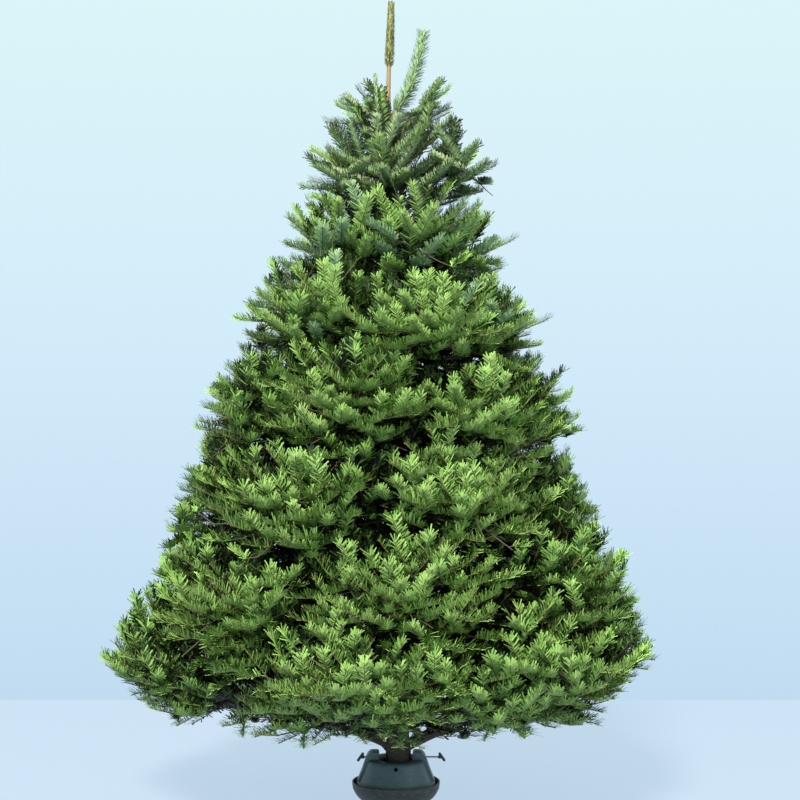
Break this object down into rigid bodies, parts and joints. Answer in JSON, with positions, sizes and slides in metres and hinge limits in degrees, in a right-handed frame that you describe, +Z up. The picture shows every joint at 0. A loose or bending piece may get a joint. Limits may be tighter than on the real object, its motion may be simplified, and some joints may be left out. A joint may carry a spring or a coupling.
{
  "type": "christmas tree",
  "caption": "Cut fir tree for Christmas: dense tiers of upswept needle sprays round a slightly leaning trunk, clamped in a small round plastic water stand.",
  "frame": {"origin": "centre of the stand's flat underside, on the floor", "axes": "+Z up along the trunk, +X to the right and -Y to the viewer as in the picture"},
  "size_m": [1.48, 1.3877, 2.0911],
  "materials": {
    "bark": "smooth grey-brown young fir bark, matt",
    "needles": "flat glossy needles, mid green above and silvery below",
    "young_needles": "short yellow-green needles pressed to an orange-brown shoot",
    "dish_plastic": "dark moulded plastic, satin",
    "shell_plastic": "slate-green moulded plastic, satin",
    "screw_steel": "bright plated steel rod",
    "grip_plastic": "black moulded plastic, satin"
  },
  "bodies": {
    "root": {"stand_dish": "dish_plastic", "stand_shell": "shell_plastic", "stand_collar": "shell_plastic", "screw_left": "screw_steel", "screw_right": "screw_steel", "grip_left": "grip_plastic", "grip_right": "grip_plastic", "trunk": "bark", "bough_1": "bark", "bough_2": "bark", "bough_3": "bark", "bough_4": "bark", "bough_5": "bark", "bough_6": "bark", "foliage_1_1": "needles", "foliage_1_2": "needles", "foliage_1_3": "needles", "foliage_1_4": "needles", "foliage_1_5": "needles", "foliage_1_6": "needles", "foliage_2_1": "needles", "foliage_2_2": "needles", "foliage_2_3": "needles", "foliage_2_4": "needles", "foliage_2_5": "needles", "foliage_2_6": "needles", "foliage_3_1": "needles", "foliage_3_2": "needles", "foliage_3_3": "needles", "foliage_3_4": "needles", "foliage_3_5": "needles", "foliage_3_6": "needles", "foliage_4_1": "needles", "foliage_4_2": "needles", "foliage_4_3": "needles", "foliage_4_4": "needles", "foliage_4_5": "needles", "foliage_4_6": "needles", "foliage_5_1": "needles", "foliage_5_2": "needles", "foliage_5_3": "needles", "foliage_5_4": "needles", "foliage_5_5": "needles", "foliage_6_1": "needles", "foliage_6_2": "needles", "foliage_6_3": "needles", "foliage_6_4": "needles", "foliage_6_5": "needles", "foliage_7_1": "needles", "foliage_7_2": "needles", "foliage_7_3": "needles", "foliage_7_4": "needles", "foliage_7_5": "needles", "foliage_8_1": "needles", "foliage_8_2": "needles", "foliage_8_3": "needles", "foliage_8_4": "needles", "foliage_8_5": "needles", "leader_tip": "young_needles", "side_leader": "young_needles"}
  },
  "joints": []
}
